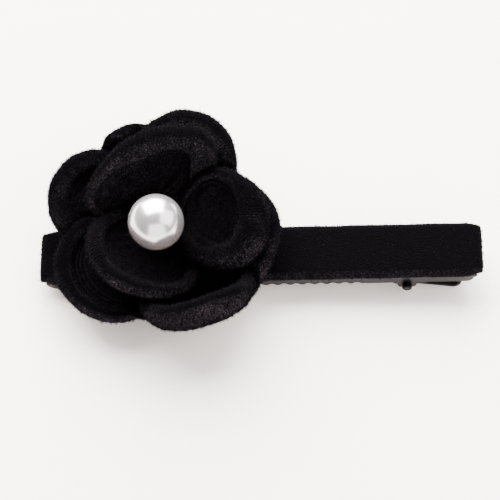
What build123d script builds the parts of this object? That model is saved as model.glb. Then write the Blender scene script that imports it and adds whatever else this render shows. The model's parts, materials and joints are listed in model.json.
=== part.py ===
from build123d import *
import os
from math import acos, atan2, cos, degrees, hypot, radians, sin, sqrt

# A hair clip of the alligator kind: a long flanged top plate and a toothed lower jaw on one
# cross pin, held shut by a torsion spring.  A velvet ribbon is glued over the plate and ends
# under it, and a padded velvet camellia with a pearl at its heart is glued on the ribbon.
#
# Frame: +Z up, the clip lying on a table at z = 0 with the flower up, the origin under the
# middle of the whole object.  The clip runs along X, jaw tip at -X and finger lever at +X.
# Lengths are in millimetres, angles in degrees.

# ---------------------------------------------------------------- driving dimensions

clip_length = 78.0
clip_width = 10.0
sheet = 0.5
flange_depth = 2.8
shoulder = 0.8
tooth_pitch = 2.2
tooth_depth = 0.5
tooth_count = 25
teeth_start = 3.0

pin_x = 65.4
pin_z = -3.5
pin_radius = 0.6
pin_head_radius = 0.9
pin_head_length = 1.0
fixed_hole_radius = 0.62
running_hole_radius = 0.65
ear_radius = 1.7

jaw_half_width = 3.9
jaw_floor_front = -3.5
jaw_floor_back = -4.6
jaw_flange_top = -1.6
lever_start_x = 64.8
lever_bend = (74.55, -7.1)
lever_lip = (75.45, -4.9)
foot_radius = 1.2

wire = 0.5
coil_radius = 1.0
coil_pitch = 0.56
coil_full_turns = 3

ribbon_half_width = 5.2
ribbon_thickness = 1.15
ribbon_end_half_width = 4.7
ribbon_return_half_width = 4.4
ribbon_return_thickness = 0.6
ribbon_return_length = 6.8

flower_x = 21.0
flower_y = 2.5
flower_lean = 12.0
felt_radius = 6.5
felt_thickness = 1.0
core_radius = 2.4
thread_radius = 0.3
pearl_radius = 5.0
pearl_height = 11.0

petal_start = 3.3
petal_thickness = 2.2
petal_cloth = 0.7
wadding_gap = 0.1
petal_gap = 0.15

# Where the clip's centreline lies in the object's frame, so that the origin is under the
# middle of the whole object: the flower reaches further to the far side than to the near one.
centreline_y = -2.6

# ---------------------------------------------------------------- the clip's own plane

# The lower jaw is one strip: a curled tip, a straight floor, the finger lever and its lip.
sheet_line = [
    (1.45, -2.2),
    (1.45, jaw_floor_front),
    (lever_start_x, jaw_floor_back),
    lever_bend,
    lever_lip,
]
bend_radius = foot_radius - sheet / 2
knee_radius = 2.5


def bend_centre(before, corner, after):
    """Centre of the round that joins two straight stretches of the strip."""
    back = Vector(*before) - Vector(*corner)
    on = Vector(*after) - Vector(*corner)
    half_angle = radians(back.get_angle(on)) / 2
    middle = (back.normalized() + on.normalized()).normalized()
    return Vector(*corner) + middle * (bend_radius / sin(half_angle))


# The clip stands on the tip's curl and on the lever's bend, which have the same radius, so
# its tilt is the slope of the line through their centres.
front_foot = bend_centre(*sheet_line[0:3])
back_foot = bend_centre(*sheet_line[2:5])
rest_tilt = atan2(front_foot.Y - back_foot.Y, back_foot.X - front_foot.X)
plate_height = foot_radius - (front_foot.X * sin(rest_tilt) + front_foot.Y * cos(rest_tilt))

# In this plane x runs from the plate's front edge to its back edge, y across the plate from
# its centreline, and z = 0 is the plate's upper face.
clip = Plane(
    origin=(-clip_length / 2 * cos(rest_tilt), centreline_y, plate_height),
    x_dir=(cos(rest_tilt), 0, sin(rest_tilt)),
    z_dir=(-sin(rest_tilt), 0, cos(rest_tilt)),
)


def flank(y):
    """Plane parallel to the clip's side at this y; its own x and y are the clip's x and z."""
    return Plane(clip.from_local_coords((0, y, 0)), x_dir=clip.x_dir, z_dir=-clip.y_dir)


def across(x):
    """Plane square to the clip at this x; its own x and y are the clip's y and z."""
    return Plane(clip.from_local_coords((x, 0, 0)), x_dir=clip.y_dir, z_dir=clip.x_dir)


def tooth_edge(level):
    """A row of round teeth along a flange's edge: arcs that bend up and down by turns."""
    quarter = tooth_pitch / 4
    for number in range(tooth_count):
        start = teeth_start + number * tooth_pitch
        for side in (1, -1):
            ThreePointArc(
                (start, level),
                (start + quarter, level + side * tooth_depth / 2),
                (start + 2 * quarter, level),
            )
            start += 2 * quarter


teeth_end = teeth_start + tooth_count * tooth_pitch

# ---------------------------------------------------------------- upper jaw

# The top plate is a shallow channel of pressed sheet: its flanges turn down, carry the upper
# teeth, and drop to two round ears that hold the pin.
tooth_level = tooth_depth / 2 - flange_depth
flange_end = clip_length - 0.6
flange_corner = 1.5
nose_drop = 0.9
nose_belly = (0.75, -1.95)
ear_half_base = 3.4
channel_drop = ear_radius - pin_z

with BuildPart() as upper_jaw:
    with BuildSketch(across(0)):
        with Locations((0, -channel_drop / 2)):
            channel = Rectangle(clip_width, channel_drop)
        fillet(channel.vertices().group_by(Axis.Z)[-1], shoulder)
        with Locations((0, -sheet - channel_drop / 2)):
            Rectangle(clip_width - 2 * sheet, channel_drop, mode=Mode.SUBTRACT)
    extrude(amount=clip_length)
    with BuildSketch(flank(0)):
        with BuildLine():
            Polyline(
                (0, -nose_drop),
                (0, 0),
                (clip_length, 0),
                (clip_length, -nose_drop),
                (flange_end, -flange_depth + flange_corner),
            )
            RadiusArc(
                (flange_end, -flange_depth + flange_corner),
                (flange_end - flange_corner, -flange_depth),
                flange_corner,
            )
            Polyline(
                (flange_end - flange_corner, -flange_depth),
                (teeth_end, -flange_depth),
                (teeth_end, tooth_level),
            )
            tooth_edge(tooth_level)
            ThreePointArc((teeth_start, tooth_level), nose_belly, (0, -nose_drop))
        make_face()
        Polygon(
            (pin_x - ear_half_base, -flange_depth + sheet),
            (pin_x - ear_radius, pin_z),
            (pin_x + ear_radius, pin_z),
            (pin_x + ear_half_base, -flange_depth + sheet),
            align=None,
        )
        with Locations((pin_x, pin_z)):
            Circle(ear_radius)
            Circle(fixed_hole_radius, mode=Mode.SUBTRACT)
    extrude(amount=clip_width, both=True, mode=Mode.INTERSECT)

# ---------------------------------------------------------------- lower jaw and finger lever

# One pressed strip with upturned toothed flanges in front of the pin.  Its floor is open
# under the pin, where the spring's coil turns, and behind the pin it slopes down as the lever.
window_front = 63.3
window_back = 68.7
window_width = 5.2
flange_front = 2.6
lip_corner = 1.5
floor_bend = 0.4
flange_heel = (69.6, -5.9)

with BuildPart() as lower_jaw:
    with BuildSketch(flank(0)):
        with BuildLine():
            FilletPolyline(*sheet_line, radius=[bend_radius, knee_radius, bend_radius])
        trace(line_width=sheet)
    extrude(amount=jaw_half_width, both=True)
    for side in (-1, 1):
        with BuildSketch(flank(side * jaw_half_width)):
            with BuildLine():
                tooth_edge(jaw_flange_top)
                Polyline(
                    (teeth_end, jaw_flange_top),
                    (pin_x, pin_z + ear_radius),
                    (pin_x + ear_radius, pin_z),
                    flange_heel,
                    (lever_start_x, jaw_floor_back),
                    (flange_front, jaw_floor_front),
                    (teeth_start, jaw_flange_top),
                )
            make_face()
            with Locations((pin_x, pin_z)):
                Circle(ear_radius)
        extrude(amount=side * sheet)
    with BuildSketch(flank(0)):
        with Locations((pin_x, pin_z)):
            Circle(running_hole_radius)
    extrude(amount=clip_width, both=True, mode=Mode.SUBTRACT)
    with BuildSketch(clip.offset(jaw_floor_back)):
        with Locations(((window_front + window_back) / 2, 0)):
            Rectangle(window_back - window_front, window_width)
    extrude(amount=2 * sheet, both=True, mode=Mode.SUBTRACT)
    short_edges = lower_jaw.edges().filter_by(lambda edge: edge.length < 1.1 * sheet)
    fillet(short_edges.sort_by(Axis.X)[-2:], lip_corner)
    long_edges = lower_jaw.edges().filter_by(lambda edge: edge.length > clip_length / 2)
    fillet(long_edges.sort_by(Axis.Z)[0:2], floor_bend)

# ---------------------------------------------------------------- hinge pin

# A rivet with a low round head outside each ear.
with BuildPart() as hinge_pin:
    with BuildSketch(flank(clip_width / 2)):
        with Locations((pin_x, pin_z)):
            Circle(pin_radius)
    extrude(amount=clip_width)
    for side in (-1, 1):
        with BuildSketch(flank(side * clip_width / 2)):
            with Locations((pin_x, pin_z)):
                Circle(pin_head_radius)
        extrude(amount=-side * pin_head_length)
    rims = hinge_pin.edges().filter_by(GeomType.CIRCLE).sort_by(Axis.Y)
    fillet([rims[0], rims[-1]], pin_head_length / 3)

# ---------------------------------------------------------------- torsion spring

# Round wire: the coil turns on the pin, the near leg presses on the lever and the far leg
# presses up against the plate.  A leg leaves the coil along its tangent.
lever_leg_end = (70.6, -5.3)
plate_leg_end = (70.3, -0.8)


def leg_length(end):
    """Length of the tangent from this point to the coil's mean circle."""
    return sqrt(hypot(end[0] - pin_x, end[1] - pin_z) ** 2 - coil_radius**2)


def tangent_angle(end, side):
    """Angle, in the flank's plane, of the point where that tangent touches the coil."""
    reach = hypot(end[0] - pin_x, end[1] - pin_z)
    towards = atan2(end[1] - pin_z, end[0] - pin_x)
    return towards + side * acos(coil_radius / reach)


coil_start = tangent_angle(lever_leg_end, -1)
coil_end = tangent_angle(plate_leg_end, 1)
coil_turns = coil_full_turns + degrees(coil_start - coil_end) % 360 / 360
coil_plane = Plane(
    clip.from_local_coords((pin_x, -coil_pitch * coil_turns / 2, pin_z)),
    x_dir=clip.x_dir * cos(coil_start) + clip.z_dir * sin(coil_start),
    z_dir=clip.y_dir,
)
coil = coil_plane * Helix(coil_pitch, coil_pitch * coil_turns, coil_radius)

with BuildPart() as torsion_spring:
    with BuildLine() as spring_line:
        lever_leg = Line(coil @ 0 - (coil % 0) * leg_length(lever_leg_end), coil @ 0)
        add(coil)
        plate_leg = Line(coil @ 1, coil @ 1 + (coil % 1) * leg_length(plate_leg_end))
    with BuildSketch(Plane(lever_leg @ 0, z_dir=lever_leg % 0)):
        Circle(wire / 2)
    sweep(path=spring_line.wire())

# ---------------------------------------------------------------- velvet ribbon

# Glued along the plate, with its edges curling down over the shoulders; each end is folded
# round the plate's edge and glued to its underside between the flanges.
ribbon_edge = 0.6

with BuildPart() as velvet_ribbon:
    with BuildSketch(across(0)):
        with Locations((0, (ribbon_thickness - ribbon_edge) / 2)):
            band = Rectangle(2 * ribbon_half_width, ribbon_thickness + ribbon_edge)
        fillet(band.vertices().group_by(Axis.Z)[-1], ribbon_edge)
        with BuildSketch(across(0), mode=Mode.PRIVATE) as plate_outline:
            with Locations((0, -flange_depth / 2)):
                outline = Rectangle(clip_width, flange_depth)
            fillet(outline.vertices().group_by(Axis.Z)[-1], shoulder)
        add(plate_outline.sketch_local, mode=Mode.SUBTRACT)
    extrude(amount=clip_length)
    fold = (ribbon_thickness + sheet + ribbon_return_thickness) / 2
    for edge, outward in ((0, -1), (clip_length, 1)):
        with BuildSketch(flank(0)):
            with BuildLine():
                ThreePointArc(
                    (edge, ribbon_thickness),
                    (edge + outward * fold, ribbon_thickness - fold),
                    (edge, ribbon_thickness - 2 * fold),
                )
                Line((edge, ribbon_thickness - 2 * fold), (edge, ribbon_thickness))
            make_face()
        extrude(amount=ribbon_end_half_width, both=True)
        with BuildSketch(clip.offset(-sheet)):
            with Locations((edge - outward * ribbon_return_length / 2, 0)):
                Rectangle(ribbon_return_length, 2 * ribbon_return_half_width)
        extrude(amount=-ribbon_return_thickness)

# ---------------------------------------------------------------- the flower's own plane

# The flower stands on a felt disc glued on the ribbon, and leans towards the near side.  In
# this plane z runs up the flower's axis from the top of the felt.
flower = Plane(
    clip.from_local_coords((flower_x, flower_y, ribbon_thickness + felt_thickness)),
    x_dir=clip.x_dir,
    z_dir=clip.z_dir * cos(radians(flower_lean)) - clip.y_dir * sin(radians(flower_lean)),
)
flower_axis = Axis(flower.origin, flower.z_dir)
spoke = Plane(flower.origin, x_dir=flower.x_dir, z_dir=-flower.y_dir)

# ---------------------------------------------------------------- felt, glue, threads, pearl

with BuildPart() as felt_backing:
    with BuildSketch(clip.offset(ribbon_thickness)):
        with Locations((flower_x, flower_y)):
            Circle(felt_radius)
    extrude(amount=felt_thickness)

# A column of hot glue fills the heart from the felt to the pearl, which sits in its top.
core_foot = 0.6

with BuildPart() as glue_core:
    with BuildSketch(flower.offset(core_foot)):
        Circle(core_radius)
    extrude(amount=pearl_height - core_foot)
    with BuildSketch(spoke) as pearl_half:
        with Locations((0, pearl_height)):
            Circle(pearl_radius)
        with Locations((-pearl_radius / 2, pearl_height)):
            Rectangle(pearl_radius, 2 * pearl_radius, mode=Mode.SUBTRACT)
    revolve(axis=flower_axis, mode=Mode.SUBTRACT)

with BuildPart() as pearl:
    add(pearl_half.sketch)
    revolve(axis=flower_axis)


def thread_ring(height):
    """One turn of gathering thread drawn tight round the foot of a ring of petals."""
    with BuildPart() as ring:
        with BuildSketch(spoke):
            with Locations((core_radius + thread_radius + thread_gap, height)):
                Circle(thread_radius)
        revolve(axis=flower_axis)
    return ring.part


thread_gap = 0.05
outer_start_height = 2.9
inner_start_height = 5.6

# ---------------------------------------------------------------- petals

# A petal is a slice of a bowl turned about the flower's axis, with a fat rolled rim and a
# rounded outline.  Each row gives the slice's two edges (degrees round the axis), the bowl's
# height half-way out, the rim's radius and height, and the petal's half width.
rim_roll = 2.2
petal_reach = 60.0

outer_petals = [
    (-34.0, 33.0, 2.2, 19.8, 3.0, 11.8),
    (35.0, 91.0, 3.2, 20.8, 6.5, 11.5),
    (92.0, 129.0, 3.2, 18.3, 6.3, 9.5),
    (130.0, 187.0, 2.6, 19.5, 4.6, 11.5),
    (192.0, 265.0, 2.5, 18.2, 3.1, 13.0),
    (266.0, 325.0, 2.2, 17.4, 1.4, 11.8),
]
inner_petals = [
    (48.0, 171.0, 7.0, 15.0, 11.2, 14.0),
    (-44.0, 30.0, 5.0, 18.0, 7.2, 11.0),
    (172.0, 315.0, 5.3, 12.0, 7.2, 14.0),
]


def petal_solid(row, start_height, inset):
    """One petal's shape; the inset moves every face inwards by that much."""
    first_edge, last_edge, middle_height, rim_radius, rim_height, half_width = row
    heading = radians((first_edge + last_edge) / 2)
    spread = radians((last_edge - first_edge) / 2)
    outward = flower.x_dir * cos(heading) + flower.y_dir * sin(heading)
    plan = Plane(flower.origin, x_dir=outward, z_dir=flower.z_dir)
    middle_radius = (petal_start + rim_radius) / 2
    outline_centre = rim_radius + rim_roll - half_width
    with BuildPart() as petal:
        with BuildSketch(plan):
            Polygon(
                (0, 0),
                (petal_reach * cos(spread), -petal_reach * sin(spread)),
                (petal_reach, 0),
                (petal_reach * cos(spread), petal_reach * sin(spread)),
                align=None,
            )
            with Locations((outline_centre, 0)):
                Circle(half_width, mode=Mode.INTERSECT)
            offset(amount=-petal_gap / 2 - inset, kind=Kind.INTERSECTION, mode=Mode.REPLACE)
        extrude(amount=petal_reach, both=True)
        with BuildSketch(Plane(flower.origin, x_dir=outward, z_dir=outward.cross(flower.z_dir))):
            with BuildLine():
                ThreePointArc(
                    (petal_start, start_height),
                    (middle_radius, middle_height),
                    (rim_radius, rim_height),
                )
            trace(line_width=petal_thickness - 2 * inset)
            with Locations((rim_radius, rim_height)):
                Circle(rim_roll - inset)
            with Locations(((petal_start + inset) / 2, 0)):
                Rectangle(petal_start + inset, petal_reach, mode=Mode.SUBTRACT)
        revolve(axis=flower_axis, mode=Mode.INTERSECT)
    return petal.part


# ---------------------------------------------------------------- write one file per piece

os.makedirs("parts", exist_ok=True)
pieces = {
    "upper_jaw": upper_jaw.part,
    "lower_jaw": lower_jaw.part,
    "hinge_pin": hinge_pin.part,
    "torsion_spring": torsion_spring.part,
    "velvet_ribbon": velvet_ribbon.part,
    "felt_backing": felt_backing.part,
    "glue_core": glue_core.part,
    "pearl": pearl.part,
    "gathering_thread_outer": thread_ring(outer_start_height),
    "gathering_thread_inner": thread_ring(inner_start_height),
}
for ring, rows, start_height in (
    ("outer", outer_petals, outer_start_height),
    ("inner", inner_petals, inner_start_height),
):
    for number, row in enumerate(rows, 1):
        cover = petal_solid(row, start_height, 0)
        cover -= petal_solid(row, start_height, petal_cloth)
        pieces[f"petal_{ring}_{number}"] = cover
        pieces[f"wadding_{ring}_{number}"] = petal_solid(row, start_height, petal_cloth + wadding_gap)

for name, solid in pieces.items():
    solid.label = name
    export_step(solid, f"parts/{name}.step")
    print(name, solid.is_valid, len(solid.solids()), round(solid.volume, 2), solid.bounding_box())
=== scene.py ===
import json
import math

import bpy
import numpy as np
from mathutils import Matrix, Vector


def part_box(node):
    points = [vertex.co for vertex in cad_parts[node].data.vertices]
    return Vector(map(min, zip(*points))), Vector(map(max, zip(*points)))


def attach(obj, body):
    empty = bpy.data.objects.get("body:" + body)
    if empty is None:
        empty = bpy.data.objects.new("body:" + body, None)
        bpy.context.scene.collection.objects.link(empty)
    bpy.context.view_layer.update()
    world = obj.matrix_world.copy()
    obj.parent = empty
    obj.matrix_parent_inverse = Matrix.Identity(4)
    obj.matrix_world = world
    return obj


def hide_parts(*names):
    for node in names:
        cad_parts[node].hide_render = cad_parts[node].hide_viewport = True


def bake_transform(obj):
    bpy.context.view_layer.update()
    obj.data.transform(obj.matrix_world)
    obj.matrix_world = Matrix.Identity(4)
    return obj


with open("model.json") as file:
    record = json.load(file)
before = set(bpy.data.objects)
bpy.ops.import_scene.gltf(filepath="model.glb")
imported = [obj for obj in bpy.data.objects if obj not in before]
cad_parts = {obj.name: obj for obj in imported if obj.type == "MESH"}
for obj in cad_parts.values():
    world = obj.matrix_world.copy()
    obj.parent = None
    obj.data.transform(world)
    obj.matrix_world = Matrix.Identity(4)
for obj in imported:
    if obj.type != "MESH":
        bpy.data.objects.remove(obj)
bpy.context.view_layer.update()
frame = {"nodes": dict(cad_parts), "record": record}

scene = bpy.context.scene

# ---------------------------------------------------------------- camera, table and light
# The clip lies on a plain pale table, seen from its near side and well above, through a long
# lens that hardly converges.
target = Vector((-0.00195, -0.0018, 0.0055))
elevation = math.radians(63.0)
camera_distance = 0.4
camera_data = bpy.data.cameras.new("camera")
camera_data.sensor_width = 36.0
camera_data.lens = 158.4
camera_data.clip_start = 0.01
camera_data.clip_end = 50.0
camera = bpy.data.objects.new("camera", camera_data)
camera.location = target + camera_distance * Vector((0.0, -math.cos(elevation), math.sin(elevation)))
camera.rotation_euler = (math.pi / 2 - elevation, 0.0, 0.0)
scene.collection.objects.link(camera)
scene.camera = camera

# Three soft boxes light it: a large strong one behind, a weak one at the right and a weak one
# at the near side, in a dim white surround that fills the shadows.
world = bpy.data.worlds.new("studio")
world.use_nodes = True
surround = world.node_tree.nodes["Background"].inputs
surround["Color"].default_value = (1.0, 0.955, 0.94, 1.0)
surround["Strength"].default_value = 0.45
scene.world = world

for light_name, place, width, watts in (
    ("soft_box_behind", (-0.09, 0.42, 0.42), 0.76, 58.0),
    ("soft_box_right", (0.42, 0.0, 0.42), 0.6, 6.0),
    ("soft_box_front", (0.06, -0.60, 0.24), 0.8, 8.0),
):
    light_data = bpy.data.lights.new(light_name, "AREA")
    light_data.shape = "SQUARE"
    light_data.size = width
    light_data.energy = watts
    light_data.color = (1.0, 0.965, 0.95)
    light = bpy.data.objects.new(light_name, light_data)
    light.location = place
    light.rotation_euler = (target - light.location).to_track_quat("-Z", "Y").to_euler()
    scene.collection.objects.link(light)


# ---------------------------------------------------------------- table top
# A matt sheet of off-white card, with the faint mottling of paper. Its material, like those of
# the clip, is written as sums and products of sockets, each of which adds its Math node.
class Socket:
    """An output socket of a node tree, with arithmetic done by Math nodes."""

    def __init__(self, tree, out=None):
        self.tree, self.out = tree, out

    def put(self, value, target_input):
        """Links a socket to this input, or sets the constant on it."""
        if isinstance(value, Socket):
            self.tree.links.new(value.out, target_input)
        else:
            target_input.default_value = value

    def node(self, kind, settings=None, inputs=None, output=0):
        """Any other node: its type, its settings and its inputs."""
        made = self.tree.nodes.new(kind)
        for key, value in (settings or {}).items():
            setattr(made, key, value)
        for key, value in (inputs or {}).items():
            self.put(value, made.inputs[key])
        return Socket(self.tree, made.outputs[output])

    def math(self, operation, first, second=0.0):
        return self.node("ShaderNodeMath", {"operation": operation}, {0: first, 1: second})

    def __add__(self, other):
        return self.math("ADD", self, other)

    __radd__ = __add__

    def __sub__(self, other):
        return self.math("SUBTRACT", self, other)

    def __rsub__(self, other):
        return self.math("SUBTRACT", other, self)

    def __mul__(self, other):
        return self.math("MULTIPLY", self, other)

    __rmul__ = __mul__

    def sine(self):
        return self.math("SINE", self)

    def step(self, low, high):
        """0 below low, 1 above high, and a smooth rise between them."""
        return self.node(
            "ShaderNodeMapRange",
            {"interpolation_type": "SMOOTHSTEP"},
            {"Value": self, "From Min": low, "From Max": high},
        )

    def mix(self, first, second):
        """A colour between first and second, by this factor."""
        settings = {"data_type": "RGBA"}
        return self.node("ShaderNodeMix", settings, {0: self, 6: first, 7: second}, output=2)

    def noise(self, coordinates, scale, detail=2.0, roughness=0.5):
        inputs = {"Vector": coordinates, "Scale": scale, "Detail": detail, "Roughness": roughness}
        return self.node("ShaderNodeTexNoise", None, inputs)

    def bump(self, height, distance, strength=1.0):
        """The normal over this height, which runs from 0 to 1 over distance in metres."""
        return self.node(
            "ShaderNodeBump", None, {"Height": height, "Distance": distance, "Strength": strength}
        )


def material(name, constants, varying):
    """A Principled material: constants are set on its sockets, and varying(root, coordinates)
    gives the sockets that feed the others."""
    made = bpy.data.materials.new(name)
    made.use_nodes = True
    shader = made.node_tree.nodes["Principled BSDF"]
    root = Socket(made.node_tree)
    for key, value in constants.items():
        shader.inputs[key].default_value = value
    coordinates = root.node("ShaderNodeTexCoord", output=3)
    for key, value in varying(root, coordinates).items():
        root.put(value, shader.inputs[key])
    return made


def card_surface(root, at):
    mottle = root.noise(at, 90.0, 3.0)
    return {
        "Base Color": mottle.mix((0.93, 0.865, 0.83, 1.0), (0.95, 0.885, 0.85, 1.0)),
        "Roughness": 0.75 + 0.1 * mottle,
    }


table_mesh = bpy.data.meshes.new("table_top")
table_half = 3.0
table_corners = [(x * table_half, y * table_half, 0.0) for x, y in ((-1, -1), (1, -1), (1, 1), (-1, 1))]
table_mesh.from_pydata(table_corners, [], [(0, 1, 2, 3)])
table_mesh.materials.append(material("table_card", {"Specular IOR Level": 0.2}, card_surface))
table_top = bpy.data.objects.new("table_top", table_mesh)
scene.collection.objects.link(table_top)


# ---------------------------------------------------------------- jaws
# Both jaws are pressed from thin plated steel strip with a satin grain along their length, and
# their teeth, flanges and lever are the CAD's own.
def satin_steel(root, at):
    along = root.node("ShaderNodeMapping", None, {"Vector": at, "Scale": (60.0, 2600.0, 2600.0)})
    grain = root.noise(along, 1.0, 3.0, 0.6)
    smudge = root.noise(at, 180.0, 4.0)
    return {
        "Base Color": smudge.mix((0.014, 0.0125, 0.0145, 1.0), (0.022, 0.020, 0.0225, 1.0)),
        "Roughness": 0.26 + 0.16 * grain + 0.1 * smudge,
        "Normal": root.bump(grain, 0.00002, 0.35),
    }


def repaint(node, finish):
    """Gives a CAD node's mesh this material in every slot."""
    mesh = frame["nodes"][node].data
    mesh.materials.clear()
    mesh.materials.append(finish)


clip_steel = material("clip_steel_satin", {"Metallic": 1.0}, satin_steel)
repaint("upper_jaw", clip_steel)
repaint("lower_jaw", clip_steel)


# ---------------------------------------------------------------- hinge pin
# A blackened rivet pin through the ears, its heads closed by hammering.
def blackened(root, at):
    peen = root.noise(at, 2200.0, 2.0)
    worn = root.noise(at, 900.0, 3.0).step(0.55, 0.75)
    return {
        "Base Color": worn.mix((0.006, 0.0055, 0.0065, 1.0), (0.03, 0.028, 0.031, 1.0)),
        "Roughness": 0.35 + 0.25 * peen,
        "Normal": root.bump(peen, 0.00003, 0.5),
    }


repaint("hinge_pin", material("pin_steel_blackened", {"Metallic": 1.0}, blackened))

# ---------------------------------------------------------------- torsion spring
# One length of hard-drawn wire: a leg on the lever, about three and a half turns round the pin
# and a leg under the plate, which it pushes away from the lever.
mm = 0.001
hinge = frame["record"]["behaviour"]["joints"][0]
pin_centre = np.array(hinge["pos_m"])
clip_tilt = math.radians(2.7256)
clip_x = np.array([math.cos(clip_tilt), 0.0, math.sin(clip_tilt)])
clip_y = np.array([0.0, 1.0, 0.0])
clip_z = np.array([-math.sin(clip_tilt), 0.0, math.cos(clip_tilt)])
pin_along, pin_drop = 65.4, 3.5
clip_origin = pin_centre - mm * (pin_along * clip_x - pin_drop * clip_z)


def on_clip(x, y, z):
    """Places of the clip's own millimetres, from the jaw's tip, on the plate's top."""
    x, y, z = np.broadcast_arrays(x, y, z)
    return clip_origin + mm * (x[..., None] * clip_x + y[..., None] * clip_y + z[..., None] * clip_z)


def closed_mesh(points, first_pole, last_pole):
    """Faces and UVs of a grid of rings that is closed round, with a pole at each end.

    points is rings x round x 3. Returns vertices, faces and one UV for each face corner, with
    U going once round and V from the first pole to the last.
    """
    rings, around = points.shape[:2]
    vertices = np.vstack([points.reshape(-1, 3), first_pole, last_pole])
    i = np.arange(rings - 1)[:, None]
    j = np.arange(around)[None]
    after = (j + 1) % around
    here, ahead = i * around, (i + 1) * around
    quads = np.stack([here + j, here + after, ahead + after, ahead + j], -1).reshape(-1, 4)
    u = np.broadcast_to(j / around, (rings - 1, around))
    v = np.broadcast_to(i / (rings - 1), (rings - 1, around))
    du, dv = 1 / around, 1 / (rings - 1)
    quad_uv = np.stack([np.stack(c, -1) for c in ((u, v), (u + du, v), (u + du, v + dv), (u, v + dv))], 2)
    near = np.arange(around)
    beyond = (near + 1) % around
    start = np.stack([np.full(around, rings * around), beyond, near], -1)
    base = (rings - 1) * around
    end = np.stack([np.full(around, rings * around + 1), base + near, base + beyond], -1)
    triangle_uv = np.zeros((2 * around, 3, 2))
    triangle_uv[:around, :, 0] = np.stack([near, near + 1, near], -1) / around
    triangle_uv[around:, :, 0] = np.stack([near, near, near + 1], -1) / around
    triangle_uv[around:, :, 1] = 1.0
    triangles = np.vstack([start, end])
    solid = np.vstack([quads[:, :3], quads[:, [0, 2, 3]], triangles])
    corner = vertices[solid]
    turned_in = np.einsum("ij,ij->", corner[:, 0], np.cross(corner[:, 1], corner[:, 2])) < 0
    if turned_in:
        quads, triangles = quads[:, ::-1], triangles[:, ::-1]
        quad_uv, triangle_uv = quad_uv.reshape(-1, 4, 2)[:, ::-1], triangle_uv[:, ::-1]
    uv = np.vstack([quad_uv.reshape(-1, 2), triangle_uv.reshape(-1, 2)])
    return vertices, quads.tolist() + triangles.tolist(), uv


def piece(name, vertices, faces, uv, finish, body, slot, *nodes):
    """A finished, smooth object at the origin, riding on a body and standing for CAD nodes."""
    mesh = bpy.data.meshes.new(name)
    mesh.from_pydata(vertices, [], faces)
    if uv is not None:
        mesh.uv_layers.new(name="UVMap").data.foreach_set("uv", uv.ravel())
    mesh.polygons.foreach_set("use_smooth", np.ones(len(mesh.polygons), dtype=bool))
    mesh.materials.append(finish)
    made = bpy.data.objects.new(name, mesh)
    scene.collection.objects.link(made)
    if body:
        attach(made, body)
    if nodes:
        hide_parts(*nodes)
    return made


def tube(path, radius, around=16):
    """A round section of this radius carried along a path, with its ends closed.

    At each point the section's first axis is square to the path and to the clip's width, or to
    the clip's height where the path runs along the width, and its second is square to both.
    """
    ahead = np.gradient(path, axis=0)
    ahead /= np.linalg.norm(ahead, axis=1)[:, None]
    side = np.cross(ahead, clip_y)
    weak = np.linalg.norm(side, axis=1) < 0.2
    side[weak] = np.cross(ahead[weak], clip_z)
    side /= np.linalg.norm(side, axis=1)[:, None]
    up = np.cross(ahead, side)
    angle = np.linspace(0, 2 * np.pi, around, endpoint=False)
    ring = np.cos(angle)[None, :, None] * side[:, None] + np.sin(angle)[None, :, None] * up[:, None]
    return closed_mesh(path[:, None] + radius * ring, path[:1], path[-1:])


wire_radius, coil_radius, coil_pitch = 0.25, 1.0, 0.56
lever_leg_end, plate_leg_end = np.array([70.6, -5.3]), np.array([70.3, -0.8])
pin_local = np.array([pin_along, -pin_drop])


def tangent_angle(end, side):
    """The angle at which the straight line from end touches the coil."""
    reach = end - pin_local
    return math.atan2(reach[1], reach[0]) + side * math.acos(coil_radius / np.hypot(*reach))


coil_start = tangent_angle(lever_leg_end, -1)
coil_end = tangent_angle(plate_leg_end, 1)
whole_turns = 3
coil_turns = whole_turns + ((coil_start - coil_end) % (2 * math.pi)) / (2 * math.pi)
turn = np.linspace(0, 1, 260)
turn_angle = coil_start - 2 * math.pi * coil_turns * turn
coil_local = np.stack(
    [
        pin_local[0] + coil_radius * np.cos(turn_angle),
        coil_pitch * coil_turns * (turn - 0.5),
        pin_local[1] + coil_radius * np.sin(turn_angle),
    ],
    -1,
)
leg = np.linspace(0, 1, 24)[:, None]
lever_tip = np.array([lever_leg_end[0], coil_local[0, 1], lever_leg_end[1]])
plate_tip = np.array([plate_leg_end[0], coil_local[-1, 1], plate_leg_end[1]])
spring_local = np.vstack(
    [
        lever_tip + (coil_local[0] - lever_tip) * leg[:-1],
        coil_local,
        coil_local[-1] + (plate_tip - coil_local[-1]) * leg[1:],
    ]
)


def drawn_wire(root, at):
    along = root.node("ShaderNodeMapping", None, {"Vector": at, "Scale": (800.0, 3000.0, 800.0)})
    scratch = root.noise(along, 1.0, 3.0)
    return {
        "Base Color": scratch.mix((0.05, 0.047, 0.052, 1.0), (0.10, 0.095, 0.10, 1.0)),
        "Roughness": 0.24 + 0.2 * scratch,
        "Normal": root.bump(scratch, 0.00001, 0.4),
    }


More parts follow.
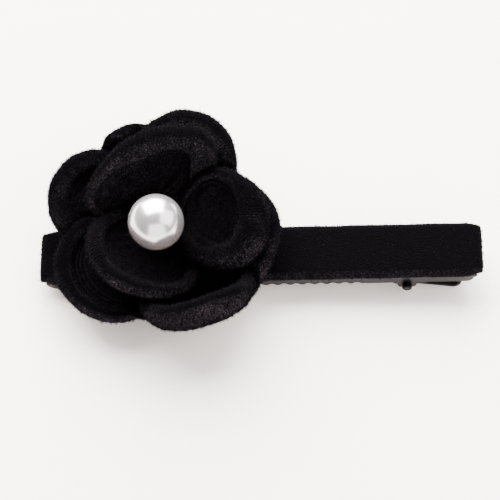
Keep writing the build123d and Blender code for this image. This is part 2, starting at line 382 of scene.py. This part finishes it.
spring = piece(
    "torsion_spring_wire",
    *tube(on_clip(*spring_local.T), wire_radius * mm),
    material("spring_steel_drawn", {"Metallic": 1.0}, drawn_wire),
    None,
    "spring_steel",
    "torsion_spring",
)
spring_side = coil_pitch * coil_turns / 2 * mm
tuple(pin_centre - spring_side * clip_y)
tuple(pin_centre + spring_side * clip_y)
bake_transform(spring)


# ---------------------------------------------------------------- velvet ribbon
# Cotton velvet ribbon glued along the whole plate, turned round both ends of it and glued
# under. Its woven edges curl down over the plate's shoulders and shed a fringe of pile.
def velvet(name, deep, lit, ribs, row_share, petal_share):
    """Black velvet: a dense pile that is near black where it is looked into, with tips in specks
    that are painted lighter on its near side, towards -Y, as painted light, and rows of pile
    square to a rolled edge.

    ribs is the number of rows in one turn of U and row_share how deep they are. petal_share
    turns on what only a petal has along V: a painted shade in the cup, painted highlights in
    stripes near its lip, and a painted highlight on the lip.
    """

    def surface(root, at):
        cells_of_pile = {"Vector": at, "Scale": 3000.0}
        tufts = 1.0 - root.node("ShaderNodeTexVoronoi", {"feature": "F1"}, cells_of_pile).step(0.0, 0.7)
        hairs = root.noise(at, 3600.0, 2.0, 0.6)
        combed = root.noise(at, 260.0, 2.0)
        normal = root.node("ShaderNodeNewGeometry", output=1)
        # Painted light: the tips are painted lighter on faces turned towards -Y, the near side, as if lit
        # from there.
        painted_near_side_light = (0.0 - root.node("ShaderNodeSeparateXYZ", None, {0: normal}, output=1)).step(0.1, 1.1)
        place = root.node("ShaderNodeUVMap")
        around = root.node("ShaderNodeSeparateXYZ", None, {0: place})
        outward = root.node("ShaderNodeSeparateXYZ", None, {0: place}, output=1)
        # Painted shade: the cup of a petal, inside its lip, is painted darker.
        shaded = (1.0 - outward.step(0.2, 0.36)) * 0.6 * petal_share
        # Painted highlight: lip here is a band along the petal's lip that is painted lighter.
        lip = outward.step(0.31, 0.365) * (1.0 - outward.step(0.37, 0.43)) * 1.6 * petal_share
        tips = (0.1 + 1.15 * tufts * hairs.step(0.34, 0.68)) * (0.5 + 0.5 * combed.step(0.35, 0.7))
        ridge_rate = 314.0
        # Painted highlights: rings of stripes in the cup near its lip are painted lighter, as lit ridges,
        # inside the painted shade.
        painted_ridge_highlight = (outward * ridge_rate + hairs * 1.5).sine().step(0.3, 1.0) * outward.step(0.2, 0.3)
        # From here tips holds the specks together with the painted near-side light, the painted lip
        # highlight, the painted cup shade and the painted highlights in the cup.
        tips = tips * (0.008 + painted_near_side_light * (1.0 + 0.5 * lip) + 0.012 * lip) * (1.0 - shaded)
        tips = tips + (0.03 + 0.2 * painted_ridge_highlight) * shaded
        wander = root.noise(at, 500.0, 1.0) * 6.0
        rows = (around * ribs * 2 * math.pi + wander).sine() * 0.5 + 0.5
        patches = root.noise(at, 110.0, 1.0).step(0.46, 0.6) * row_share
        height = tufts * 0.5 + hairs * 0.25 + rows * patches
        return {
            "Base Color": tips.mix(deep, lit),
            "Roughness": 0.85 + 0.1 * hairs,
            "Normal": root.bump(height, 0.0003, 0.9),
        }

    constants = {
        "Specular IOR Level": 0.0,
        "Sheen Weight": 0.02,
        "Sheen Roughness": 0.35,
        "Sheen Tint": (0.90, 0.80, 0.90, 1.0),
    }
    return material(name, constants, surface)


def fuzz(name, base):
    """The loose pile tips, lit through from behind, a little lighter than the cloth."""

    def surface(root, at):
        shade = root.noise(at, 700.0, 2.0)
        pale = tuple(2.2 * c for c in base[:3]) + (1.0,)
        return {"Base Color": shade.mix(base, pale), "Roughness": 0.8 + 0.15 * shade}

    constants = {"Specular IOR Level": 0.0, "Sheen Weight": 0.015, "Sheen Roughness": 0.4}
    return material(name, constants, surface)


def pile(name, vertices, faces, finish, slot, count, length, seed, keep=None):
    """Loose pile tips as tiny closed three-sided spikes on a surface.

    Random faces are drawn in proportion to their area, and a random place on each. A spike
    stands along the face's normal, leaned by a random amount, with its root just under the
    surface. One in eight is a clump, thicker and taller. keep(places, normals) may thin them.
    """
    rng = np.random.default_rng(seed)
    quads = np.array([f for f in faces if len(f) == 4])
    corner = np.asarray(vertices)[quads]
    cross = np.cross(corner[:, 2] - corner[:, 0], corner[:, 3] - corner[:, 1])
    area = np.linalg.norm(cross, axis=1)
    chosen = rng.choice(len(quads), count, p=area / area.sum())
    a, b = rng.random((2, count, 1))
    c = corner[chosen]
    near, far = c[:, 0] * (1 - a) + c[:, 1] * a, c[:, 3] * (1 - a) + c[:, 2] * a
    foot = near * (1 - b) + far * b
    normal = cross[chosen] / area[chosen][:, None]
    if keep is not None:
        held = keep(foot, normal)
        foot, normal = foot[held], normal[held]
    amount = len(foot)
    lean = normal + 0.42 * rng.standard_normal((amount, 3))
    lean /= np.linalg.norm(lean, axis=1)[:, None]
    clump = np.where(rng.random((amount, 1)) < 0.12, 1.8, 1.0)
    tall = length * mm * (0.4 + 0.6 * rng.random((amount, 1))) * clump
    side = np.cross(lean, rng.standard_normal((amount, 3)))
    side /= np.linalg.norm(side, axis=1)[:, None]
    other = np.cross(lean, side)
    thick = 0.055 * mm * clump
    root = foot - 0.12 * mm * normal
    third = (side, -0.5 * side + 0.87 * other, -0.5 * side - 0.87 * other)
    spikes = np.stack([root + thick * across for across in third] + [foot + tall * lean], 1)
    index = 4 * np.arange(amount)[:, None]
    tris = np.vstack([index + np.array(t) for t in ((0, 2, 1), (0, 1, 3), (1, 2, 3), (2, 0, 3))])
    return piece(name, spikes.reshape(-1, 3), tris.tolist(), None, finish, "top_clip", slot)


# Seen from the side, the ribbon's outer face goes forward under the plate's tip, up round the
# tip, back along the top, down round the back end and forward again under it. Its inner face
# follows the plate, so the cloth is thicker in the folds than on the top.
plate_length, fold_radius, ribbon_top, return_face = 78.0, 1.125, 1.15, -1.10
plate_under, plate_top, plate_gap = -0.53, 0.03, 0.05
return_length = 5.7
fold_z = (ribbon_top + return_face) / 2
return_run = np.linspace(0, 1, 30)[:, None] * np.array([-return_length, 0])
top_run = np.linspace(0, 1, 500)[:, None] * np.array([plate_length, 0])
fold = np.pi * np.linspace(0, 1, 40)[1:-1]
fold_out, fold_up = fold_radius * np.sin(fold), fold_radius * np.cos(fold)
outer_path = np.vstack(
    [
        np.array([return_length, return_face]) + return_run,
        np.stack([-fold_out, fold_z - fold_up], -1),
        np.array([0, ribbon_top]) + top_run,
        np.stack([plate_length + fold_out, fold_z + fold_up], -1),
        np.array([plate_length, return_face]) + return_run,
    ]
)
inner_path = outer_path.copy()
inner_path[:, 1] = np.interp(outer_path[:, 1], [return_face, ribbon_top], [plate_under, plate_top])
inner_path[:, 0] = np.clip(outer_path[:, 0], -plate_gap, plate_length + plate_gap)
lift_up = np.clip((outer_path[:, 1] - fold_z) / (ribbon_top - fold_z), 0, 1)[:, None]
lie = np.clip((outer_path[:, 1] - return_face) / (ribbon_top - return_face), 0, 1)[:, None]
end_taper = np.clip(np.minimum(outer_path[:, 0], plate_length - outer_path[:, 0]) / 1.6, 0, 1)[:, None]
half_width = 4.4 + 0.3 * np.sin(np.pi * np.clip(lie, 0, 0.5)) + 0.65 * lie * end_taper**0.5

# Its section is a rounded oblong between the two faces: a circle's cosine and sine, each raised
# to a small power. The outermost millimetre at each side curls down over the plate's shoulder,
# and two slow waves keep the top from lying dead flat.
section_turn = np.linspace(0, 2 * np.pi, 56, endpoint=False)[None]
sideways, upwards = np.cos(section_turn), np.sin(section_turn)
ribbon_y = half_width * np.sign(sideways) * np.abs(sideways) ** 0.32
depth_share = 0.5 + 0.5 * np.sign(upwards) * np.abs(upwards) ** 0.45
ribbon_x = inner_path[:, :1] + (outer_path[:, :1] - inner_path[:, :1]) * depth_share
ribbon_z = inner_path[:, 1:] + (outer_path[:, 1:] - inner_path[:, 1:]) * depth_share
shoulder = np.clip(np.abs(ribbon_y) - 4.2, 0, 0.999)
ribbon_z = ribbon_z - lift_up * 0.62 * shoulder**1.6
ripple = np.sin(ribbon_x * 0.9 + 1.3) * 0.5 + np.sin(ribbon_x * 0.37) * 0.5
ribbon_z = ribbon_z + 0.045 * lift_up * ripple * depth_share
ribbon_y = ribbon_y * (1 + 0.006 * np.sin(ribbon_x * 0.55 + np.sign(sideways)))
ribbon_grid = on_clip(ribbon_x, ribbon_y, ribbon_z)
ribbon_velvet = velvet(
    "ribbon_velvet_black", (0.0012, 0.0010, 0.0013, 1), (0.034, 0.029, 0.036, 1), 160, 0.0, 0.0
)
ribbon_mesh = closed_mesh(ribbon_grid, ribbon_grid[:1].mean(1), ribbon_grid[-1:].mean(1))
ribbon = piece(
    "velvet_ribbon_strip", *ribbon_mesh, ribbon_velvet, "top_clip", "ribbon_velvet", "velvet_ribbon"
)
ribbon_fuzz = fuzz("ribbon_pile_black", (0.0026, 0.0021, 0.0027, 1))


def ribbon_edges(foot, normal):
    """Keeps the tips on the curled sides and the turned ends, and a third of those on top."""
    local = foot - clip_origin
    side = np.abs(local @ clip_y) > 4.3 * mm
    along = local @ clip_x
    ends = (along < 0.6 * mm) | (along > (plate_length - 0.6) * mm)
    upward = normal @ clip_z > -0.2
    thinned = np.arange(len(foot)) % 3 == 0
    return (upward & (side | thinned)) | ends


pile("velvet_ribbon_pile", *ribbon_mesh[:2], ribbon_fuzz, "ribbon_velvet", 26000, 0.42, 11, ribbon_edges)

# ---------------------------------------------------------------- felt disc
# A disc of black wool felt cut by hand, glued on the ribbon to carry the flower.
flower_lean = math.radians(12.0)
flower_z = clip_z * math.cos(flower_lean) - clip_y * math.sin(flower_lean)
flower_x = clip_x
flower_y = np.cross(flower_z, flower_x)
pearl_low, pearl_high = (np.array(c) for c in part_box("pearl"))
pearl_centre = (pearl_low + pearl_high) / 2
pearl_radius = float(np.mean(pearl_high - pearl_low)) / 2
pearl_height = 11.0
flower_origin = pearl_centre - pearl_height * mm * flower_z


def on_flower(x, y, z):
    """Places of the flower's own millimetres, with z up its axis from the top of the felt."""
    x, y, z = np.broadcast_arrays(x, y, z)
    offset = x[..., None] * flower_x + y[..., None] * flower_y + z[..., None] * flower_z
    return flower_origin + mm * offset


turn = np.linspace(0, 2 * np.pi, 180, endpoint=False)[None]
level = np.linspace(-np.pi / 2, np.pi / 2, 26)[1:-1, None]
ragged = 1 + 0.012 * np.sin(5 * turn + 1) + 0.008 * np.sin(13 * turn) + 0.006 * np.sin(31 * turn + 2)
felt_reach = (5.95 + 0.35 * np.cos(level)) * np.cos(level) ** 0.18 * ragged
felt_height = -0.52 + 0.46 * np.sign(np.sin(level)) * np.abs(np.sin(level)) ** 0.4
felt_height = felt_height + 0.03 * np.sin(4 * turn + 6 * level)
felt_grid = on_flower(felt_reach * np.cos(turn), felt_reach * np.sin(turn), felt_height)


def wool_felt(root, at):
    fibres = root.noise(at, 1500.0, 4.0, 0.7)
    return {
        "Base Color": fibres.mix((0.006, 0.005, 0.0065, 1.0), (0.03, 0.027, 0.031, 1.0)),
        "Roughness": 0.88 + 0.1 * fibres,
        "Normal": root.bump(fibres, 0.00025, 0.9),
    }


felt = piece(
    "felt_disc",
    *closed_mesh(felt_grid, felt_grid[:1].mean(1), felt_grid[-1:].mean(1)),
    material("felt_black", {"Specular IOR Level": 0.1, "Sheen Weight": 0.2}, wool_felt),
    "top_clip",
    "felt",
    "felt_backing",
)


# ---------------------------------------------------------------- hot-melt core
# Black hot-melt glue run into the heart of the flower, which holds every petal's foot and the
# pearl.
def hot_melt(root, at):
    cloud = root.noise(at, 500.0, 3.0)
    return {
        "Base Color": cloud.mix((0.004, 0.0035, 0.004, 1.0), (0.009, 0.008, 0.009, 1.0)),
        "Roughness": 0.22 + 0.15 * cloud,
        "Normal": root.bump(cloud, 0.0001, 0.5),
    }


glue_finish = material("hot_melt_black", {"IOR": 1.48, "Specular IOR Level": 0.2}, hot_melt)
repaint("glue_core", glue_finish)


# ---------------------------------------------------------------- gathering threads
# Two rings of two-ply cotton thread, one drawn tight round the feet of the outer petals and
# one above it round the feet of the inner ones.
def twisted_cotton(root, at):
    hair = root.noise(at, 5000.0, 3.0)
    return {
        "Base Color": hair.mix((0.008, 0.007, 0.008, 1.0), (0.05, 0.046, 0.05, 1.0)),
        "Roughness": 0.75 + 0.2 * hair,
        "Normal": root.bump(hair, 0.00005, 0.8),
    }


thread_finish = material("thread_black", {"Specular IOR Level": 0.2}, twisted_cotton)
ring_reach, ply_reach, ply_radius, twists = 2.75, 0.14, 0.15, 22
thread_turn = np.linspace(0, 2 * np.pi, 361)
ply_section = np.linspace(0, 2 * np.pi, 12, endpoint=False)
i = np.arange(len(thread_turn) - 1)[:, None]
j = np.arange(len(ply_section))[None]
here = i * len(ply_section)
following = (i + 1) % (len(thread_turn) - 1) * len(ply_section)
beside = (j + 1) % len(ply_section)
ply_faces = np.stack([here + j, here + beside, following + beside, following + j], -1).reshape(-1, 4)
for node, height in (("gathering_thread_outer", 2.9), ("gathering_thread_inner", 5.6)):
    plies = []
    for ply_start in (0.0, math.pi):
        wrap = twists * thread_turn + ply_start
        reach = (ring_reach + ply_reach * np.cos(wrap))[:, None] + ply_radius * np.cos(ply_section)
        rise = (height + ply_reach * np.sin(wrap))[:, None] + ply_radius * np.sin(ply_section)
        ahead = thread_turn[:, None]
        plies.append(on_flower(reach * np.cos(ahead), reach * np.sin(ahead), rise)[:-1].reshape(-1, 3))
    verts = np.vstack(plies)
    faces = np.vstack([ply_faces, ply_faces + len(plies[0])])[:, ::-1]
    piece(node + "_twist", verts, faces.tolist(), None, thread_finish, "top_clip", "thread", node)

# ---------------------------------------------------------------- velvet petals
# Each petal is a round of velvet gathered over soft wadding into a cup with a thick rolled rim,
# its lip turned in and its foot drawn to the heart. Six lie round the outside and three higher
# ones close in on the pearl, each pressed down by the petals on top of it.
def petal_surface(
    way, lift, heart, start, centre, aside, along, wide, deep, wall, roll, uneven, turned, tipped, seed
):
    """One petal's closed surface in flower millimetres, as rings x round x 3, with two poles.

    The rim is an oval line (along, wide) turned in its own plane, drooping by dip towards the
    heart. A circle of radius roll, thinner at the heart, runs round it, and uneven makes one
    side of it thicker. The surface goes from the bottom of the cup, deep below the rim near
    the heart, up to the lip, which is tucked under the roll, over the roll, and down the
    outside as a flattened bowl, wall below the inside. Inside and outside run on an angle from
    the rim to the pole: the distance from the middle goes with its cosine, the height with its
    sine. The cup is tipped about its centre, moved aside, raised by lift from a start height
    at heart from the axis, and turned towards way.
    """
    dip, egg, around = 2.2, 0.1, 340
    lip = math.radians(225.0)
    pole_x = -0.7 * along
    phase = np.random.default_rng(seed).uniform(0, 2 * np.pi, 8)
    angle = np.linspace(0, 2 * np.pi, around, endpoint=False)
    spin = math.radians(turned)
    wave = 1 + 0.012 * np.sin(3 * angle + phase[0]) + 0.008 * np.sin(5 * angle + phase[1])
    oval_x = along * np.cos(angle) * wave
    oval_y = wide * np.sin(angle) * (1 + egg * np.cos(angle)) * wave
    rim_x = oval_x * math.cos(spin) - oval_y * math.sin(spin)
    rim_y = oval_x * math.sin(spin) + oval_y * math.cos(spin)
    reach = np.hypot(rim_x, rim_y)
    ray_x, ray_y = rim_x / reach, rim_y / reach
    tip = (1 + ray_x) / 2
    rim_z = -dip * (1 - tip) ** 1.3
    rim_z = rim_z + 0.22 * np.sin(2 * angle + phase[2]) + 0.12 * np.sin(4 * angle + phase[3])
    radius = roll * (0.25 + 0.75 * tip**0.6) * (1 + uneven * np.sin(angle))
    radius = radius * (1 + 0.03 * np.sin(7 * angle + phase[4]) + 0.02 * np.sin(11 * angle + phase[5]))
    inside = np.linspace(np.pi / 2, 0, 42)[1:, None]
    share = np.sin(inside)
    cup_q = (reach + radius * math.cos(lip)) * np.cos(inside)
    cup_z = rim_z * (1 - share) + radius * math.sin(lip) * (1 - share) - deep * share
    gathers = np.sin(13 * angle + 2.5 * np.sin(2 * angle + phase[6])) * 0.28 * (1 - tip) ** 0.5
    crease_band = np.exp(-((inside - 0.22) / 0.22) ** 2)
    creases = 0.19 * np.sin(26 * inside + 1.2 * np.sin(3 * angle + phase[7])) * crease_band
    edge_fade = np.clip(inside / 0.12, 0, 1)
    cup_z = cup_z + gathers * np.sin(2 * inside) ** 2 + creases * edge_fade
    rolled = np.linspace(lip, 0, 34)[1:, None]
    roll_q = reach + radius * np.cos(rolled)
    roll_z = rim_z + radius * np.sin(rolled)
    outside = np.linspace(0, np.pi / 2, 40)[1:-1, None]
    fall = np.sin(outside) ** 0.95
    bowl_q = (reach + radius) * np.cos(outside) ** 0.85
    bowl_z = rim_z * (1 - fall) - (deep + wall) * fall
    q = np.vstack([cup_q, roll_q, bowl_q])
    z = np.vstack([cup_z, roll_z, bowl_z])
    to_heart = np.zeros((len(q), 1))
    to_heart[: len(cup_q)] = pole_x * share**1.5
    to_heart[-len(bowl_q) :] = pole_x * np.sin(outside) ** 1.5
    x = to_heart + q * ray_x
    y = q * ray_y
    inner = np.zeros(len(q), bool)
    inner[: len(cup_q)] = True
    x = np.append(x.ravel(), [pole_x, pole_x])
    y = np.append(y.ravel(), [0.0, 0.0]) + aside
    z = np.append(z.ravel(), [-deep, -(deep + wall)])
    tilt, up, turn_to = (math.radians(a) for a in (tipped, lift, way))
    x, z = centre + x * math.cos(tilt) - z * math.sin(tilt), x * math.sin(tilt) + z * math.cos(tilt)
    out = heart + x * math.cos(up) - z * math.sin(up)
    high = start + x * math.sin(up) + z * math.cos(up)
    px = out * math.cos(turn_to) - y * math.sin(turn_to)
    py = out * math.sin(turn_to) + y * math.cos(turn_to)
    inner = np.append(np.repeat(inner, around), [True, False])
    return np.stack([px, py, high], -1), inner, (len(q), around)


# What lies on top is kept as a height map of square cells over the flower, a cell 0.4 mm wide.
cell = 0.4
cells = 140


def cell_of(points):
    """The height map's cell under each point."""
    index = np.floor(points[:, :2] / cell).astype(int) + cells // 2
    return tuple(np.clip(index, 0, cells - 1).T)


def spread(height, steps):
    """Each cell takes the highest value within so many cells of it."""
    for _ in range(steps):
        height = np.max([np.roll(height, s, axis) for axis in (0, 1) for s in (-1, 0, 1)], axis=0)
    return height


def soften(height, steps):
    """Averages each cell with its neighbours, so many times."""
    for _ in range(steps):
        height = sum(np.roll(height, s, axis) for axis in (0, 1) for s in (-1, 0, 1)) / 6
    return height


def press(points, ceiling):
    """Lowers a petal under the ones on top of it: in each cell by as much as its own highest
    point stands above their lowest, spread and softened over a few millimetres."""
    own = np.full((cells, cells), -99.0)
    where = cell_of(points)
    np.maximum.at(own, where, points[:, 2])
    drop = np.clip(own - ceiling + 0.25, 0, None)
    drop[(own < -50) | (ceiling > 50)] = 0.0
    drop = soften(spread(drop, 2), 5)
    grid = points[:, :2] / cell + cells // 2 - 0.5
    low = np.clip(np.floor(grid).astype(int), 0, cells - 2)
    a, b = low.T
    s, t = np.clip(grid - low, 0, 1).T
    near = drop[a, b] * (1 - s) + drop[a + 1, b] * s
    far = drop[a, b + 1] * (1 - s) + drop[a + 1, b + 1] * s
    pressed = points.copy()
    pressed[:, 2] -= near * (1 - t) + far * t
    return pressed


def rest(points, inner):
    """Stops a petal at the ribbon, or a little above the table beside it: heights below that
    are eased up to it, the inside staying a wadding's thickness above the outside."""
    world = on_flower(*points.T)
    local = (world - clip_origin) / mm
    y, z = local @ clip_y, local @ clip_z
    ribbon_side, slope, over_ribbon, beside_ribbon, over_table = 5.0, 1.6, 1.25, -2.6, 0.5
    wadding_room, soft = 1.1, 0.35
    beside = np.clip((np.abs(y) - ribbon_side) / slope, 0, 1)
    beside = beside * beside * (3 - 2 * beside)
    low = over_ribbon * (1 - beside) + beside * beside_ribbon
    table = over_table - (world[:, 2] / mm - z)
    low = np.maximum(low, table) + np.where(inner, wadding_room, 0.0)
    eased = low + soft * np.logaddexp(0, (z - low) / soft)
    raised = world + mm * (eased - z)[:, None] * clip_z
    back = (raised - flower_origin) / mm
    return np.stack([back @ flower_x, back @ flower_y, back @ flower_z], -1)


petal_velvet = velvet(
    "petal_velvet_black", (0.0011, 0.00088, 0.0012, 1), (0.070, 0.059, 0.071, 1), 110, 0.6, 1.0
)
petal_fuzz = fuzz("petal_pile_black", (0.0009, 0.0007, 0.00095, 1))


def wool(root, at):
    tangle = root.noise(at, 1800.0, 5.0, 0.7)
    return {
        "Base Color": tangle.mix((0.0008, 0.0007, 0.0009, 1.0), (0.0018, 0.0015, 0.0019, 1.0)),
        "Roughness": 0.85 + 0.12 * tangle,
        "Normal": root.bump(tangle, 0.0003, 0.8),
    }


def keep_inside(stuffing, cover):
    """Moves each point of the stuffing that stands through its cover to just under the nearest
    place on it, twice, because the first move can come out at a fold."""
    for wrap_name in ("under_cover", "under_cover_again"):
        wrap = stuffing.modifiers.new(wrap_name, "SHRINKWRAP")
        wrap.target = cover
        wrap.wrap_method = "NEAREST_SURFACEPOINT"
        wrap.wrap_mode = "INSIDE"
        wrap.offset = 0.06 * mm
    graph = bpy.context.evaluated_depsgraph_get()
    finished = bpy.data.meshes.new_from_object(stuffing.evaluated_get(graph))
    stuffing.modifiers.clear()
    finished.name = stuffing.name
    stuffing.data = finished


wadding_finish = material("wadding_black", {"Specular IOR Level": 0.0}, wool)
ceiling = np.full((cells, cells), 99.0)

# The petals from the top one down, with the values petal_surface takes, in its order.
petal_table = (
    ("inner_2", 9.8, 14, 2.0, 5.6, 8.6, 0.0, 7.1, 7.9, 4.0, 1.3, 2.06, -0.50, 20, 0),
    ("inner_3", 233.6, 12, 2.0, 5.2, 1.8, 0.0, 10.4, 9.2, 4.5, 1.3, 1.45, -0.07, 27, 22),
    ("inner_1", 100.0, 28, 2.0, 5.4, 7.3, 0.0, 6.15, 11.0, 4.0, 1.4, 2.2, -0.45, 18, 0),
    ("outer_6", 284.0, 6, 2.0, 4.0, 9.3, 3.8, 9.6, 9.2, 7.2, 1.8, 1.35, 0.0, 0, 44),
    ("outer_5", 216.2, 6, 2.0, 3.0, 7.2, 0.0, 9.9, 9.5, 3.4, 1.6, 1.4, -0.08, -5, 0),
    ("outer_1", -3.0, 5, 2.0, 3.0, 7.9, 0.0, 9.4, 9.5, 3.0, 1.6, 2.5, -0.11, -3, 0),
    ("outer_2", 70.2, 12, 2.0, 3.0, 10.0, 0.0, 9.1, 7.9, 3.4, 1.6, 2.15, 0.0, 1, 0),
    ("outer_4", 150.0, 9, 2.0, 3.0, 10.2, 0.0, 7.9, 7.5, 3.2, 1.6, 1.8, 0.0, -2, 0),
    ("outer_3", 109.0, 15, 2.0, 3.0, 10.6, 0.0, 5.5, 12.0, 3.2, 1.6, 2.5, -0.20, 9, 0),
)

# Each ring of the velvet, from the cup's pole over the lip at ring 40 and the roll to the bowl
# at ring 73 and on to the bowl's pole, has a partner across the filling: the cup's rings have
# the bowl's, and the roll's the middle between lip and bowl. The wadding lies at 0.42 of the
# way from each to its partner, which leaves it a thin layer in the middle of the petal.
lip_row, bowl_row, depth_in = 40, 73, 0.42
for seed, (place, *shape) in enumerate(petal_table):
    points, inner, (rings, around) = petal_surface(*shape, seed=20 + seed)
    points = rest(press(points, ceiling), inner)
    np.minimum.at(ceiling, cell_of(points), points[:, 2])
    cloth = on_flower(*points.T)
    verts, faces, uv = closed_mesh(cloth[:-2].reshape(rings, around, 3), cloth[-2:-1], cloth[-1:])
    petal = piece(
        "petal_" + place + "_velvet",
        *(verts, faces, uv),
        petal_velvet,
        "top_clip",
        "petal_velvet",
        "petal_" + place,
    )
    grid = verts[:-2].reshape(rings, around, 3)
    row, last_row = np.arange(rings), rings - 1
    opposite = np.clip(np.round(last_row - (last_row - bowl_row) * row / lip_row), bowl_row, last_row)
    back = np.clip(np.round(lip_row * (last_row - row) / (last_row - bowl_row)), 0, lip_row)
    partner = grid[np.where(row <= lip_row, opposite, back).astype(int)]
    partner[lip_row + 1 : bowl_row] = (grid[lip_row] + grid[bowl_row]) / 2
    stuffing = (grid + depth_in * (partner - grid))[::2, ::2]
    core_poles = verts[-2:] + depth_in * (verts[-2:][::-1] - verts[-2:])
    wadding = piece(
        "wadding_" + place + "_wool",
        *closed_mesh(stuffing, core_poles[:1], core_poles[1:]),
        wadding_finish,
        "top_clip",
        "wadding",
        "wadding_" + place,
    )
    keep_inside(wadding, petal)
    tip_count = 20000
    pile("petal_" + place + "_pile", verts, faces, petal_fuzz, "petal_velvet", tip_count, 0.5, 40 + seed)


# ---------------------------------------------------------------- pearl
# An imitation pearl, a glass bead under coats of pearl lacquer: a soft grey-cream body,
# painted darker and warmer towards its underside as painted shade, under a clear glossy skin.
def pearl_lustre(root, at):
    cloud = root.noise(at, 160.0, 2.0)
    height = root.node("ShaderNodeSeparateXYZ", None, {0: at}, output=2)
    low, high = float(pearl_low[2]), float(pearl_high[2])
    # Painted shade: this share is 1 at the top and 0 low down, and paints the body darker and warmer
    # towards the underside; it also makes the top more metallic.
    painted_light_towards_top = height.step(low + 0.15 * (high - low), low + 0.75 * (high - low))
    body = painted_light_towards_top.mix((0.50, 0.36, 0.27, 1.0), (0.60, 0.58, 0.605, 1.0))
    return {
        "Base Color": (cloud * 0.2).mix(body, (0.80, 0.76, 0.75, 1.0)),
        "Metallic": 0.55 + 0.3 * painted_light_towards_top,
        "Roughness": 0.22 + 0.05 * cloud,
        "Coat Weight": 0.5 + 0.2 * cloud,
    }


pearl_finish = material(
    "pearl_lacquer",
    {"IOR": 1.6, "Coat Roughness": 0.06, "Coat IOR": 1.55, "Specular IOR Level": 0.6},
    pearl_lustre,
)
bead_level = np.linspace(0, np.pi, 66)[1:-1, None]
bead_turn = np.linspace(0, 2 * np.pi, 128, endpoint=False)[None]
bead_radius = pearl_radius / mm * (1 - 0.002 * np.sin(3 * bead_turn) * np.sin(bead_level) ** 2)
bead = on_flower(
    bead_radius * np.sin(bead_level) * np.cos(bead_turn),
    bead_radius * np.sin(bead_level) * np.sin(bead_turn),
    pearl_height + bead_radius * np.cos(bead_level),
)
poles = on_flower(0.0, 0.0, pearl_height + np.array([1, -1]) * pearl_radius / mm)
piece(
    "pearl_bead",
    *closed_mesh(bead, poles[:1], poles[1:]),
    pearl_finish,
    "top_clip",
    "imitation_pearl",
    "pearl",
)
